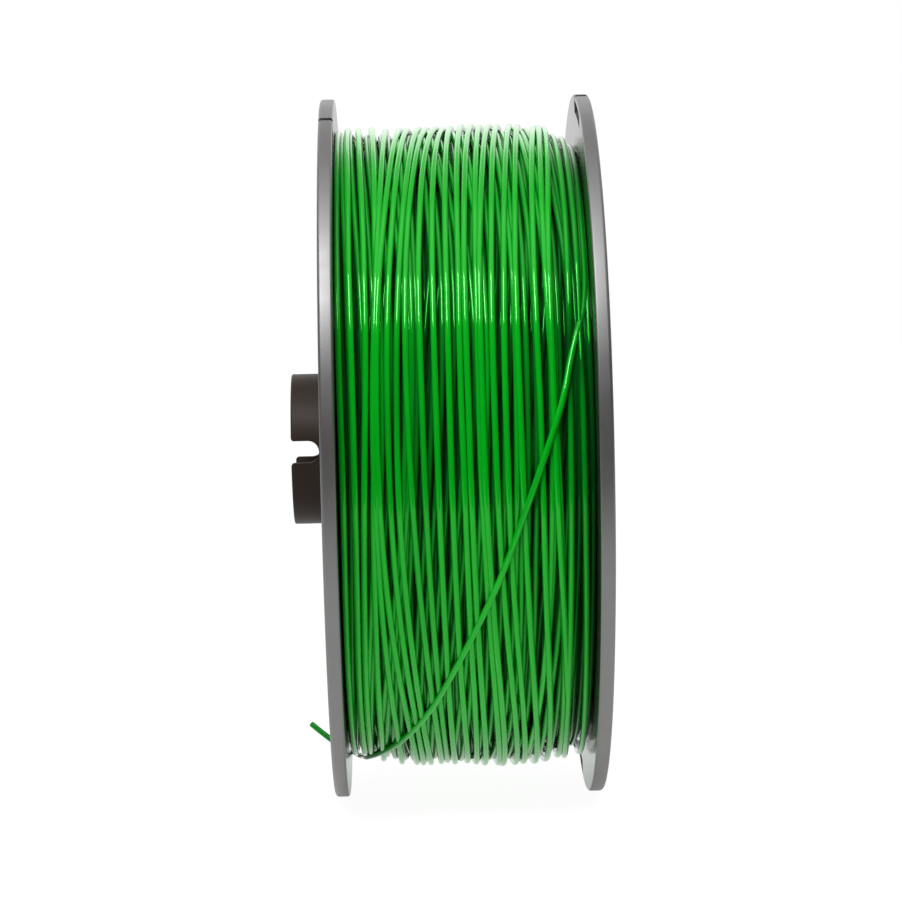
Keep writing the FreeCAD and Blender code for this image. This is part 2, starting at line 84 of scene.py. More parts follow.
print(f"reel: {2 * FLANGE_RADIUS:.0f} mm across, {2 * INNER_FACE:.0f} mm between the flanges")

# %% [markdown]
# ## Camera
#
# The photograph was taken from in front and a little above, with a long lens: the flanges
# look like thin ellipses. The camera's place and directions were worked out from the
# outlines of both flanges.

# %% Camera
SENSOR = 36.0


def aim_camera(place, right, up, focal_pixels, image_pixels):
    """A camera at a place in millimetres, with the picture's own right and up directions."""
    bpy.ops.object.select_all(action="DESELECT")
    bpy.ops.object.camera_add()
    camera = bpy.context.object
    camera.name = "camera"
    right, up = Vector(right).normalized(), Vector(up)
    up = (up - right * up.dot(right)).normalized()
    turn = Matrix((right, up, right.cross(up))).transposed()
    camera.matrix_world = Matrix.Translation(Vector(place) * MM) @ turn.to_4x4()
    camera.data.sensor_width = SENSOR
    camera.data.lens = SENSOR * focal_pixels / image_pixels
    bpy.context.scene.camera = camera
    return camera


camera = aim_camera(
    place=(-14.865, -916.095, 39.998), right=(0.99966, -0.01404, -0.0218),
    up=(0.02241, 0.04503, 0.99873), focal_pixels=3176.82, image_pixels=902)
print(f"camera: {camera.data.lens:.1f} mm lens")

# %% [markdown]
# ## Finishes
#
# Every finish is built from nodes. One helper turns an sRGB hex colour into the linear
# numbers that shaders use, and one adds a node with its settings and links.

# %% Helpers for finishes
def linear(hex_colour):
    """An sRGB colour such as "#3A3835" as linear red, green, blue and alpha."""
    parts = [int(hex_colour[i:i + 2], 16) / 255 for i in (1, 3, 5)]
    return [c / 12.92 if c <= 0.04045 else ((c + 0.055) / 1.055) ** 2.4 for c in parts] + [1.0]


def new_node(tree, kind, inputs=None, **settings):
    """A node in a tree. An input is a value, or a socket of another node to link."""
    node = tree.nodes.new(kind)
    for name, value in settings.items():
        setattr(node, name, value)
    for name, value in (inputs or {}).items():
        if isinstance(value, bpy.types.NodeSocket):
            tree.links.new(value, node.inputs[name])
        else:
            node.inputs[name].default_value = value
    return node


def new_material(name):
    """A new material and its node tree, which is empty."""
    material = bpy.data.materials.new(name)
    material.use_nodes = True
    material.node_tree.nodes.clear()
    return material, material.node_tree


def finish_with(tree, shader):
    """Link a shader to a new output node."""
    output = new_node(tree, "ShaderNodeOutputMaterial")
    tree.links.new(shader.outputs["BSDF"], output.inputs["Surface"])


# %% [markdown]
# The flanges are injection-moulded ABS in dark grey. The mould gives a half-gloss skin with
# a very fine orange peel, so the reflection of a lamp is soft. Handling leaves faint rubs
# that change the gloss more than the colour. The faces towards the winding are smoother
# than the rest: seen at a grazing angle, they mirror the white tent.
#
# One function serves the three moulded plastics. The drum's is plain satin, and the hub
# sleeve's is a duller and browner nylon.

# %% Moulded plastics
RUBS = 9.0  # size of the rubbed patches, mm
POLISH_END, GRAIN_START = 0.02, 0.25  # depths below a flange's inner face, mm


def moulded_plastic(name, colour, worn_colour, roughness, face_roughness, peel_mm, peel_depth,
                    gloss_level):
    """A moulded plastic, matt or glossy, with its orange peel's width and depth in mm."""
    material, tree = new_material(name)
    place = new_node(tree, "ShaderNodeTexCoord").outputs["Object"]
    clouds = new_node(tree, "ShaderNodeTexNoise", {
        "Vector": place, "Scale": 1 / (RUBS * MM), "Detail": 4.0, "Roughness": 0.6})
    tone = new_node(tree, "ShaderNodeMix", {
        0: clouds.outputs["Fac"], 6: linear(colour), 7: linear(worn_colour)}, data_type="RGBA")
    peel = new_node(tree, "ShaderNodeTexNoise", {
        "Vector": place, "Scale": 1 / (peel_mm * MM), "Detail": 2.0, "Roughness": 0.5})
    gloss = new_node(tree, "ShaderNodeMapRange", {
        "Value": clouds.outputs["Fac"], "From Min": 0.3, "From Max": 0.7,
        "To Min": roughness - 0.02, "To Max": roughness + 0.03})
    along = new_node(tree, "ShaderNodeSeparateXYZ", {"Vector": place})
    across = new_node(tree, "ShaderNodeMath", {0: along.outputs["X"]}, operation="ABSOLUTE")
    inside = new_node(tree, "ShaderNodeMapRange", {
        "Value": across.outputs[0], "From Min": (INNER_FACE + POLISH_END) * MM,
        "From Max": (INNER_FACE + GRAIN_START) * MM,
        "To Min": face_roughness / roughness, "To Max": 1.0})
    gloss = new_node(tree, "ShaderNodeMath", {
        0: gloss.outputs["Result"], 1: inside.outputs["Result"]}, operation="MULTIPLY")
    bump = new_node(tree, "ShaderNodeBump", {
        "Height": peel.outputs["Fac"], "Strength": 0.3, "Distance": peel_depth * MM})
    finish_with(tree, new_node(tree, "ShaderNodeBsdfPrincipled", {
        "Base Color": tone.outputs[2], "Roughness": gloss.outputs[0],
        "Normal": bump.outputs["Normal"], "IOR": 1.75, "Specular IOR Level": gloss_level}))
    return material


flange_plastic = moulded_plastic(
    "moulded_abs_grey", "#282524", "#2E2B29", roughness=0.46, face_roughness=0.16,
    peel_mm=1.2, peel_depth=0.01, gloss_level=1.0)
drum_plastic = moulded_plastic(
    "moulded_abs_drum", "#3D3A38", "#454240", roughness=0.40, face_roughness=0.40,
    peel_mm=1.2, peel_depth=0.01, gloss_level=0.4)
sleeve_plastic = moulded_plastic(
    "moulded_nylon_sleeve", "#251C16", "#2C221B", roughness=0.50, face_roughness=0.50,
    peel_mm=0.8, peel_depth=0.02, gloss_level=0.08)
print("moulded plastics:", flange_plastic.name, drum_plastic.name, sleeve_plastic.name)

# %% [markdown]
# The strand is extruded PLA, a clear green plastic with an even colour. The die leaves it a
# glossy skin, so a lamp draws a thin bright streak on each turn.
#
# Strands that lie deeper in the winding are in shade, because they see less of the tent and
# much of each other, and that shade is painted into the colour. The pieces of the winding
# carry their depth under the top turns as an attribute, in millimetres, and the colour goes
# from the open one to a painted shade colour with it, while the coat fades out as a painted
# dimming of the reflections. Towards the right flange, which stands in the lamp's way, some
# depth is added as a painted shadow of the flange. The tail has a copy of the finish with
# painted shade where the tail dips under the winding.

# %% Extruded green strand
TONE_DRIFT, SKIN_DRIFT = 14.0, 3.0  # size of the patches in colour and in gloss, mm
PAINTED_SHADE_DEPTHS = 0.0, 1.8  # depths at which the painted shade colour starts and is full, mm
FLANGE_SHADE, FLANGE_SHADE_START = 0.9, 27.0  # depth of painted shadow added at the right flange, and from where
TAIL_SHADE, TAIL_SHADE_HEIGHTS = 1.5, (-76.0, -90.0)  # depth of painted shade added low on the tail, and where
COAT = 0.32


def extruded_strand(name, colour, shade_colour, painted_deep_colour, low_shade=0.0):
    """The strand's plastic: two near tones, painted shade by depth and painted shade low down.
    """
    material, tree = new_material(name)
    place = new_node(tree, "ShaderNodeTexCoord").outputs["Object"]
    drift = new_node(tree, "ShaderNodeTexNoise", {
        "Vector": place, "Scale": 1 / (TONE_DRIFT * MM), "Detail": 2.0})
    tone = new_node(tree, "ShaderNodeMix", {
        0: drift.outputs["Fac"], 6: linear(colour), 7: linear(shade_colour)}, data_type="RGBA")
    # painted shade: the depth in the winding darkens the colour, as shade between the strands
    depth = new_node(tree, "ShaderNodeAttribute", attribute_name="depth").outputs["Fac"]
    along = new_node(tree, "ShaderNodeSeparateXYZ", {"Vector": place})
    # painted shadow of the right flange, as depth added towards it
    beside = new_node(tree, "ShaderNodeMapRange", {
        "Value": along.outputs["X"], "From Min": FLANGE_SHADE_START * MM,
        "From Max": INNER_FACE * MM, "To Max": FLANGE_SHADE})
    depth = new_node(tree, "ShaderNodeMath", {0: depth, 1: beside.outputs["Result"]})
    # painted shade where the tail dips under the winding, as depth added low down
    below = new_node(tree, "ShaderNodeMapRange", {
        "Value": along.outputs["Z"], "From Min": TAIL_SHADE_HEIGHTS[0] * MM,
        "From Max": TAIL_SHADE_HEIGHTS[1] * MM, "To Max": low_shade})
    depth = new_node(tree, "ShaderNodeMath", {0: depth.outputs[0], 1: below.outputs["Result"]})
    shade = new_node(tree, "ShaderNodeMapRange", {
        "Value": depth.outputs[0], "From Min": PAINTED_SHADE_DEPTHS[0], "From Max": PAINTED_SHADE_DEPTHS[1]})
    tone = new_node(tree, "ShaderNodeMix", {
        0: shade.outputs["Result"], 6: tone.outputs[2], 7: linear(painted_deep_colour)},
        data_type="RGBA")
    haze = new_node(tree, "ShaderNodeTexNoise", {
        "Vector": place, "Scale": 1 / (SKIN_DRIFT * MM), "Detail": 3.0})
    gloss = new_node(tree, "ShaderNodeMapRange", {
        "Value": haze.outputs["Fac"], "From Min": 0.3, "From Max": 0.7,
        "To Min": 0.08, "To Max": 0.13})
    # painted dimming of the reflections: the coat fades out in the painted shade
    coat = new_node(tree, "ShaderNodeMapRange", {
        "Value": shade.outputs["Result"], "To Min": COAT, "To Max": 0.0})
    finish_with(tree, new_node(tree, "ShaderNodeBsdfPrincipled", {
        "Base Color": tone.outputs[2], "Roughness": gloss.outputs["Result"], "IOR": 1.50,
        "Specular Tint": linear("#40FF50"), "Coat Weight": coat.outputs["Result"],
        "Coat Roughness": 0.04}))
    return material


# the third green is the painted shade colour deep in the winding
GREENS = "#07A51C", "#06941A", "#044B13"
strand_plastic = extruded_strand("extruded_pla_green", *GREENS)
painted_shade_tail_plastic = extruded_strand("extruded_pla_green_tail_painted_shade", *GREENS, TAIL_SHADE)
print("strand plastics:", strand_plastic.name, painted_shade_tail_plastic.name)

# %% [markdown]
# ## Turned pieces
#
# Nearly everything on a reel is round. So a half section is drawn as one closed outline and
# spun round the axis, as on a lathe, which keeps each step of the section at its size.

# %% Tools for turned pieces
def take_up(piece):
    """Make a piece the only selected one and the active one."""
    bpy.ops.object.select_all(action="DESELECT")
    piece.select_set(True)
    bpy.context.view_layer.objects.active = piece


def outline_piece(name, points):
    """An object whose mesh is one face with these corners, in millimetres."""
    mesh = bpy.data.meshes.new(name)
    mesh.from_pydata([[c * MM for c in point] for point in points], [], [range(len(points))])
    piece = bpy.data.objects.new(name, mesh)
    bpy.context.scene.collection.objects.link(piece)
    take_up(piece)
    return piece


def turned(name, corners, steps=240):
    """A body of revolution about the X axis, from the corners (x, radius) of its section."""
    piece = outline_piece(name, [(x, 0, r) for x, r in corners])
    bpy.ops.object.mode_set(mode="EDIT")
    bpy.ops.mesh.select_all(action="SELECT")
    bpy.ops.mesh.delete(type="ONLY_FACE")
    bpy.ops.mesh.select_all(action="SELECT")
    bpy.ops.mesh.spin(steps=steps, angle=2 * math.pi, center=(0, 0, 0), axis=(1, 0, 0))
    bpy.ops.mesh.select_all(action="SELECT")
    bpy.ops.mesh.remove_doubles(threshold=0.001 * MM)
    bpy.ops.mesh.normals_make_consistent(inside=False)
    bpy.ops.object.mode_set(mode="OBJECT")
    return piece


# %% [markdown]
# ## The winding
#
# The real winding is one strand laid turn upon turn while a guide moves to and fro. It is
# never even: each turn slides into a groove between earlier turns or rides over one, which
# leaves leaning strands, crossings and dark gaps.
#
# Modelling that by hand would take thousands of turns of the mouse, and a plain helix looks
# like a machine screw. So the strand is laid here as the machine lays it. For each turn the
# guide gives its place along the axis, the turn slides a little towards lower ground, and
# its radius is the least that clears what lies below. A taut strand can't follow every dip,
# so bumps are widened to straight bridges.
#
# The strand is a row of samples, each with its angle, its place along the axis and its
# radius. Angles count from the near side upwards. The last sample is the tail's start.

# %% Samples along the strand
SAMPLES = 120  # to a turn
LAYER_TURNS = (36, 30, 24)  # turns in each layer, the lowest first
TURNS = sum(LAYER_TURNS)
REACH = INNER_FACE - STRAND / 2 - 0.1  # the furthest from the middle that the strand can lie
TAIL_START = (32.606, -68.683, 49.566)
TAIL_ROUTE = [
    (32.7, -74.9, 41.1), (28.5, -82.5, 28.9), (25.7, -88.4, 15.8), (22.9, -90.6, 7.6),
    (16.7, -90.5, -9.3), (9.4, -86.3, -29.0), (4.6, -81.9, -39.6), (-3.5, -71.8, -55.9),
    (-10.5, -59.0, -69.2), (-17.8, -45.3, -78.5), (-23.6, -32.5, -83.7), (-29.1, -16.0, -87.6),
    (-29.7, 2.9, -90.0), (-31.7, 16.1, -91.5), (-33.2, 29.4, -92.4), (-38.8, 34.9, -90.8),
    (-46.3, 40.9, -85.2),
]
count = TURNS * SAMPLES
end_angle = math.degrees(math.atan2(TAIL_START[2], -TAIL_START[1]))
angle = end_angle + 360 * (count - 1 - np.arange(count)) / SAMPLES
angle_here = (angle + 180) % 360 - 180
print(f"strand: {TURNS} turns of {SAMPLES} samples, in {len(LAYER_TURNS)} layers")

# %% [markdown]
# No two turns lie alike, because the pull on the strand and its stiffness change as it runs
# in. A random drift stands for that: noise, averaged over a given length of strand. Its
# seed is fixed, so every run lays the same winding.

# %% Random drift
rng = np.random.default_rng(7)


def ramp(value, start, end):
    """0 at the start, 1 at the end, and an even rise in between."""
    return np.clip((value - start) / (end - start), 0, 1)


def smooth(values, width):
    """Values along the strand, averaged over a bell curve that is width samples wide."""
    steps = np.arange(-3 * width, 3 * width + 1)
    bell = np.exp(-0.5 * (steps / width) ** 2)
    padded = np.pad(values, 3 * width, mode="edge")
    return np.convolve(padded, bell / bell.sum(), mode="valid")


def drift(width, size):
    """Random drift along the strand, size high and width samples long."""
    values = smooth(rng.normal(size=count), width)
    return size * values / values.std()


# %% [markdown]
# The winding's outline isn't straight. The turns have slipped down beside the flanges: at
# the right one all round, and at the left one mostly towards the bottom. The near side as a
# whole lies a little lower than the top.

# %% Outline of the winding
NEAR_FALL = 1.2
LEFT_SHOULDER, LEFT_FALL, LEFT_FALL_BELOW = 16, 0.3, 4.7
RIGHT_SHOULDER, RIGHT_FALL, RIGHT_LESS_BELOW, RIGHT_LESS_IN_FRONT = 13, 6.2, 1.6, 2.1


def shoulder_fall(x, here):
    """How far the winding lies below its crown at x, and at an angle above the near side."""
    below = ramp(here, 0, -90)
    front = ramp(np.abs(here - 20), 48, 8)
    left = ramp(x, LEFT_SHOULDER - INNER_FACE, -INNER_FACE)
    right = ramp(x, INNER_FACE - RIGHT_SHOULDER, INNER_FACE)
    left_fall = LEFT_FALL + LEFT_FALL_BELOW * below
    right_fall = RIGHT_FALL - RIGHT_LESS_BELOW * below - RIGHT_LESS_IN_FRONT * front
    return (NEAR_FALL * np.maximum(np.cos(np.radians(here)), 0) ** 2
            + left_fall * left ** 1.5 + right_fall * right ** 1.2)


for x in (-INNER_FACE, 0, INNER_FACE):
    falls = ", ".join(f"{shoulder_fall(x, here):.1f} at {here}" for here in (90, 0, -90))
    print(f"fall at x = {x:.0f} mm, in mm and degrees: {falls}")

# %% [markdown]
# The guide goes from one flange to the other once in each layer. The strand follows it with
# a sway of its own, which comes once, twice and three times round: the turns lean one way
# on one side of the reel and the other way on the next. Near the flanges there is less room
# for it.

# %% Guide
LAYER_SWAY = (320, 80, 200)  # where on the reel each layer's turns lean over, in degrees
SWAY_ROOM = 9  # distance from the last place beside a flange at which the sway is full


def guide():
    """The guide's place along the axis: layers to and fro, with the strand's own wander."""
    x = np.concatenate([np.linspace(-REACH, REACH, n * SAMPLES) * (-1) ** k
                        for k, n in enumerate(LAYER_TURNS)])
    turn = np.radians(angle)
    phase = smooth(np.repeat(np.radians(LAYER_SWAY), np.array(LAYER_TURNS) * SAMPLES), SAMPLES)
    sway = (2.0 * np.sin(turn + drift(3 * SAMPLES, 1.5))
            + (3.0 + drift(SAMPLES, 1.1)) * np.sin(2 * turn + phase + drift(3 * SAMPLES, 0.8))
            + 0.8 * np.sin(3 * turn + drift(2 * SAMPLES, 2.0))
            + drift(16, 0.45) + drift(SAMPLES // 2, 0.5))
    room = np.clip((REACH - np.abs(x)) / SWAY_ROOM, 0.1, 1)
    return x + sway * room


# %% [markdown]
# A turn rests on the strands below it. Two round strands touch when their middles are one
# thickness apart, which gives the radius that a turn needs at each sample. Where the ground
# is lower to one side, the turn slides there in a few small steps.

# %% Resting and sliding
BRIDGE = 12  # samples before and after a bump that it lifts
SLIDES = 3
FEEL, SLIDE_SHARE, SLIDE_LIMIT = 0.25, 0.5, 0.12  # reach, share of the slope, and limit in mm


def ground(x, here, laid_x, laid_r):
    """Least radius at which a strand at x clears the core and every strand laid before."""
    lowest = core_radius - shoulder_fall(x, here)
    if not len(laid_x):
        return lowest
    apart = x[None, :] - laid_x
    reach = STRAND ** 2 - apart ** 2
    tops = np.where(reach > 0, laid_r + np.sqrt(np.maximum(reach, 0)), 0)
    return np.maximum(lowest, tops.max(axis=0))


def slide(x, here, laid_x, laid_r):
    """Places of one turn along the axis after it slid towards lower ground."""
    ease = np.minimum(1, np.minimum(np.arange(SAMPLES), np.arange(SAMPLES)[::-1]) / 8)
    for _ in range(SLIDES):
        slope = ground(x - FEEL, here, laid_x, laid_r) - ground(x + FEEL, here, laid_x, laid_r)
        step = np.clip(slope * SLIDE_SHARE, -SLIDE_LIMIT, SLIDE_LIMIT)
        x = np.clip(x + smooth(step, 4) * ease, -REACH, REACH)
    return x


def bridge(radius):
    """Radii along the strand with each bump widened, as a taut strand crosses it."""
    widened = radius.copy()
    for step in range(1, BRIDGE + 1):
        drop = (2 * math.pi * step / SAMPLES * CROWN_RADIUS) ** 2 / (4 * CROWN_RADIUS)
        ahead = np.concatenate([radius[step:], np.zeros(step)])
        behind = np.concatenate([np.zeros(step), radius[:-step]])
        widened = np.maximum(widened, np.maximum(ahead, behind) - drop)
    return widened


# %% [markdown]
# The tail crosses the last turns on its way down. Where it does, they lie low enough for
# the tail to rest on them, as the real ones do under its pull.

# %% Turns under the tail
TAIL_WIDTH = 1.06 * STRAND  # across the tail, with a little room
TAIL_ROOM = 0.45  # between the tail and the turns below
LOWEST_PRESSED = 83.9  # least radius of a turn under the tail
route = np.array([TAIL_START] + TAIL_ROUTE)
route_angle = np.degrees(np.unwrap(np.arctan2(route[:, 2], -route[:, 1])))
route_radius = np.hypot(route[:, 1], route[:, 2])


def under_tail(x, radius, here):
    """Radii kept low enough that the tail lies on top where it crosses."""
    tail_x = np.interp(-here, -route_angle, route[:, 0], left=999, right=999)
    tail_r = np.interp(-here, -route_angle, route_radius)
    near = np.abs(x - tail_x)
    room = tail_r - TAIL_ROOM - np.sqrt(np.maximum(TAIL_WIDTH ** 2 - near ** 2, 0))
    room = np.maximum(room, LOWEST_PRESSED)
    return np.where(near < TAIL_WIDTH, np.minimum(radius, room), radius)


print(f"tail: runs from {route_angle[0]:.0f} to {route_angle[-1]:.0f} degrees")

# %% [markdown]
# Now the turns are laid in order. A turn that has to climb over others is pressed half way
# back to its layer's level, since the real strands below give way. The last turn runs in
# to the tail's start.

# %% Lay the strand turn by turn
LAYER_RISE = 1.3
PRESSED = 0.5
RUN_IN = 84  # samples of the last turn that run in to the tail's start
core_radius = CROWN_RADIUS - STRAND / 2 - 2 * LAYER_RISE
hump = drift(SAMPLES, 0.45) + drift(12, 0.25)
strand_x = np.clip(guide(), -REACH, REACH)
strand_r = np.zeros(count)
run_in = ramp(np.arange(count), count - RUN_IN, count)
run_in = run_in * run_in * (3 - 2 * run_in)
strand_x = strand_x * (1 - run_in) + TAIL_START[0] * run_in
for k in range(TURNS):
    now = slice(k * SAMPLES, (k + 1) * SAMPLES)
    laid_x = strand_x[:k * SAMPLES].reshape(k, SAMPLES)
    laid_r = strand_r[:k * SAMPLES].reshape(k, SAMPLES)
    x, here = strand_x[now].copy(), angle_here[now]
    if 0 < k < TURNS - 1:
        x = slide(x, here, laid_x, laid_r)
    strand_x[now] = x
    layer = np.searchsorted(np.cumsum(LAYER_TURNS), k, side="right")
    level = core_radius + layer * LAYER_RISE - shoulder_fall(x, here) + hump[now]
    radius = np.maximum(bridge(ground(x, here, laid_x, laid_r)), level)
    radius = level + PRESSED * (radius - level)
    strand_r[now] = under_tail(x, radius, here)
strand_r = smooth(strand_r, 2) * (1 - run_in) + math.hypot(*TAIL_START[1:]) * run_in
outer_start = (TURNS - LAYER_TURNS[-1]) * SAMPLES
outside = strand_r[outer_start:] + STRAND / 2
print(f"winding: {TURNS} turns, outside radius {outside.min():.1f} to {outside.max():.1f} mm,"
      f" half way {np.median(outside):.1f} mm")

# %% [markdown]
# Each point of the winding carries its depth below the open turns, which sets how much
# shade the strand's finish paints. It is measured from the winding's own outline, with three
# corrections: the low shoulder at the right flange counts as partly deep, the last turn
# counts as open where it runs beside the tail, and depth counts for less above and below the
# level front, where the turns lie open to the tent's top and to the floor.

# %% Depth in the winding
DIM_SHARE, DIM_LESS_BELOW = 0.45, 0.4  # share of the right shoulder's fall that counts as deep for the painted shade
OPEN_SHARE = 0.4  # how much less depth counts for the painted shade above and below the level front


def mark_shade_depth(piece):
    """Store how deep each point of a piece lies in the winding, in millimetres, for the painted
    shade.
    """
    co = np.empty(len(piece.data.vertices) * 3)
    piece.data.vertices.foreach_get("co", co)
    x, y, z = co.reshape(-1, 3).T / MM
    here = np.degrees(np.arctan2(z, -y))
    dim = ramp(x, 20, 28) * (DIM_SHARE - DIM_LESS_BELOW * ramp(here, 0, -60))
    depth = CROWN_RADIUS - (1 - dim) * shoulder_fall(x, here) - np.hypot(y, z)
    beside_tail = ramp(np.abs(x - TAIL_START[0]), 2.5, 1.5) * ramp(here, 80, 40)
    depth *= 1 - beside_tail * ramp(here, 15, 30)
    depth *= 1 - OPEN_SHARE * ramp(np.abs(here - 5), 10.5, 45.5)
    piece.data.attributes.new("depth", "FLOAT", "POINT").data.foreach_set("value", depth)


# %% [markdown]
# The laid strand becomes curve objects with a round bevel, which is how Blender makes
# piping of any kind. The outer layer gets a rounder section than the layers that only show
# through its gaps.

# %% Strands from the laid points
def strand_curve(name, start, end, section_corners):
    """A piece of the laid strand, from one sample to another, as a mesh."""
    index = np.arange(start, end)
    turn = np.radians(angle[index])
    points = np.stack([strand_x[index], -strand_r[index] * np.cos(turn),
                       strand_r[index] * np.sin(turn), np.full(len(index), 1000.0)], axis=1) * MM
    curve = bpy.data.curves.new(name, "CURVE")
    curve.dimensions = "3D"
    curve.bevel_depth = STRAND / 2 * MM
    curve.bevel_resolution = (section_corners - 4) // 2
    curve.use_fill_caps = True
    spline = curve.splines.new("POLY")
    spline.points.add(len(index) - 1)
    spline.points.foreach_set("co", points.ravel())
    piece = bpy.data.objects.new(name, curve)
    bpy.context.scene.collection.objects.link(piece)
    take_up(piece)
    bpy.ops.object.convert(target="MESH")
    bpy.ops.object.shade_smooth()
    piece = bpy.context.object
    piece.data.materials.append(strand_plastic)
    mark_shade_depth(piece)
    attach(piece, "reel")
    print(f"{name}: {len(piece.data.polygons)} faces")
    return piece


outer_layer = strand_curve("winding_outer_layer", outer_start, count, 12)
strand_curve("winding_under_layers", 0, outer_start + 1, 8)
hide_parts("strand_outer_turns")

# %% [markdown]
# Below these layers lie some twenty more. Only their outermost strands show, through gaps
# in front and through the long slots in the flanges. So they are one turned body whose
# section has a round bulge for each strand.

# %% Inner layers
BULGE = [math.radians(a) for a in (-70, -35, 0, 35, 70)]
SIDE_GAP, SIDE_BULGE = 0.35, 0.45  # from the flanges, and how far each strand stands out
BORE_GAP, BORE_CHAMFER = 0.15, 0.3
SIDE_FALL = 6.5  # from the core's top to the top of the layers' sides


def layer_section():
    """The inner layers' half section as points (x, radius), with a bulge for each strand."""
    half = STRAND / 2
    side = INNER_FACE - SIDE_GAP
    low = DRUM_RADIUS + BORE_GAP
    lane = np.arange(-side + half, side, STRAND)
    crown = [(x + half * math.sin(a),
              core_radius - LAYER_RISE - shoulder_fall(x, 0) + half * math.cos(a))
             for x in lane for a in BULGE]
    rows = np.arange(DRUM_RADIUS + 0.2 + half, core_radius - SIDE_FALL, STRAND)
    right = [(side - SIDE_BULGE + SIDE_BULGE * math.cos(a), r - half * math.sin(a))
             for r in rows[::-1] for a in BULGE]
    left = [(-x, r) for x, r in right[::-1]]
    return crown + right + [(side - BORE_CHAMFER, low), (BORE_CHAMFER - side, low)] + left


inner_layers = turned("winding_inner_layers", layer_section(), 180)
bpy.ops.object.shade_smooth()
inner_layers.data.materials.append(strand_plastic)
mark_shade_depth(inner_layers)
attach(inner_layers, "reel")
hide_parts("strand_inner_layers")
print(f"inner layers: {len(inner_layers.data.polygons)} faces")

# %% [markdown]
# ## The tail
#
# The strand's free end lies across the front of the winding and is tucked into the clip in
# the left flange's rim. It is a smooth curve through the CAD model's own route points, and
# it has a copy of the strand's finish with painted shade where it goes under the winding.

# %% Tail
tail_curve = bpy.data.curves.new("tail", "CURVE")
tail_curve.dimensions = "3D"
tail_curve.bevel_depth = STRAND / 2 * MM
tail_curve.bevel_resolution = 4
tail_curve.use_fill_caps = True
tail_curve.resolution_u = 12
spline = tail_curve.splines.new("NURBS")
spline.points.add(len(TAIL_ROUTE))
for point, place in zip(spline.points, [TAIL_START] + TAIL_ROUTE):
    point.co = (*(c * MM for c in place), 1.0)
spline.order_u = 3
spline.use_endpoint_u = True
tail = bpy.data.objects.new("tail", tail_curve)
bpy.context.scene.collection.objects.link(tail)
tail.data.materials.append(painted_shade_tail_plastic)
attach(tail, "reel")
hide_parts("strand_tail")
print(f"tail: {len(TAIL_ROUTE) + 1} points")

# %% [markdown]
# ## Flanges
#
# Each flange is a turned disc with its edges rounded as the mould leaves them. Ribs and lugs
# are added to it, then the sight slots and the strand clips are cut. The two flanges differ
# in their clips and in the recess for the snap ring.
#
# The mould does all of that in one shot. Here it takes a few tools: one rounds a turned
# edge, three make the bodies that are added or cut out, and one adds them or cuts them out.

# %% Tools for rounding, adding and cutting
def round_rings(piece, rings):
    """Round circular edges of a turned piece, each given by its x, radius and rounding."""
    take_up(piece)
    bpy.ops.object.mode_set(mode="EDIT")
    bpy.ops.mesh.select_mode(type="EDGE")
    for x, radius, rounding in rings:
        bpy.ops.mesh.select_all(action="DESELECT")
        mesh = bmesh.from_edit_mesh(piece.data)
        for edge in mesh.edges:
            edge.select_set(all(abs(v.co.x / MM - x) < 0.01
                                and abs(math.hypot(v.co.y, v.co.z) / MM - radius) < 0.01
                                for v in edge.verts))
        bmesh.update_edit_mesh(piece.data)
        bpy.ops.mesh.bevel(offset=rounding * MM, segments=4, affect="EDGES")
    bpy.ops.object.mode_set(mode="OBJECT")


def block(x_range, r_range, width, rise):
    """A box that points away from the axis, rise degrees above the near side."""
    middle, turn = sum(r_range) / 2 * MM, math.radians(rise)
    bpy.ops.object.select_all(action="DESELECT")
    bpy.ops.mesh.primitive_cube_add(
        size=1, rotation=(math.pi / 2 - turn, 0, 0),
        location=(sum(x_range) / 2 * MM, -middle * math.cos(turn), middle * math.sin(turn)),
        scale=((x_range[1] - x_range[0]) * MM, width * MM, (r_range[1] - r_range[0]) * MM))
    return bpy.context.object


def arc_block(x_range, r_range, rise, span):
    """A curved block round the axis, from rise degrees to rise + span degrees."""
    turn = math.radians(rise)
    (x0, x1), (r0, r1) = x_range, r_range
    piece = outline_piece("arc", [(x, -r * math.cos(turn), r * math.sin(turn))
                                  for x, r in ((x0, r0), (x1, r0), (x1, r1), (x0, r1))])
    bpy.ops.object.mode_set(mode="EDIT")
    bpy.ops.mesh.select_all(action="SELECT")
    bpy.ops.mesh.spin(steps=14, angle=-math.radians(span), center=(0, 0, 0), axis=(1, 0, 0))
    bpy.ops.mesh.select_all(action="SELECT")
    bpy.ops.mesh.normals_make_consistent(inside=False)
    bpy.ops.object.mode_set(mode="OBJECT")
    return piece


def long_slot(x_range, low, high, width, rise):
    """A block with round ends, whose ends reach from one radius to another."""
    bpy.ops.object.select_all(action="DESELECT")
    bpy.ops.mesh.primitive_cylinder_add(
        vertices=40, radius=width / 2 * MM, depth=(x_range[1] - x_range[0]) * MM,
        location=(sum(x_range) / 2 * MM, 0, (low + width / 2) * MM),
        rotation=(0, math.pi / 2, 0))
    piece = bpy.context.object
    bpy.ops.object.transform_apply(location=True, rotation=True, scale=True)
    for vertex in piece.data.vertices:
        if vertex.co.z > (low + width / 2 + 0.01) * MM:
            vertex.co.z += (high - low - width) * MM
    piece.rotation_euler = (math.pi / 2 - math.radians(rise), 0, 0)
    return piece


def combine(piece, tool, operation="DIFFERENCE"):
    """Cut a tool out of a piece, or add it with UNION, and remove the tool."""
    change = piece.modifiers.new("change", "BOOLEAN")
    change.operation, change.object, change.solver = operation, tool, "EXACT"
    take_up(piece)
    bpy.ops.object.modifier_apply(modifier=change.name)
    bpy.data.objects.remove(tool)


# %% [markdown]
# The finished piece is shaded smooth over its round sides and sharp at its steps. Weighted
# normals keep the flat faces flat beside the small roundings.

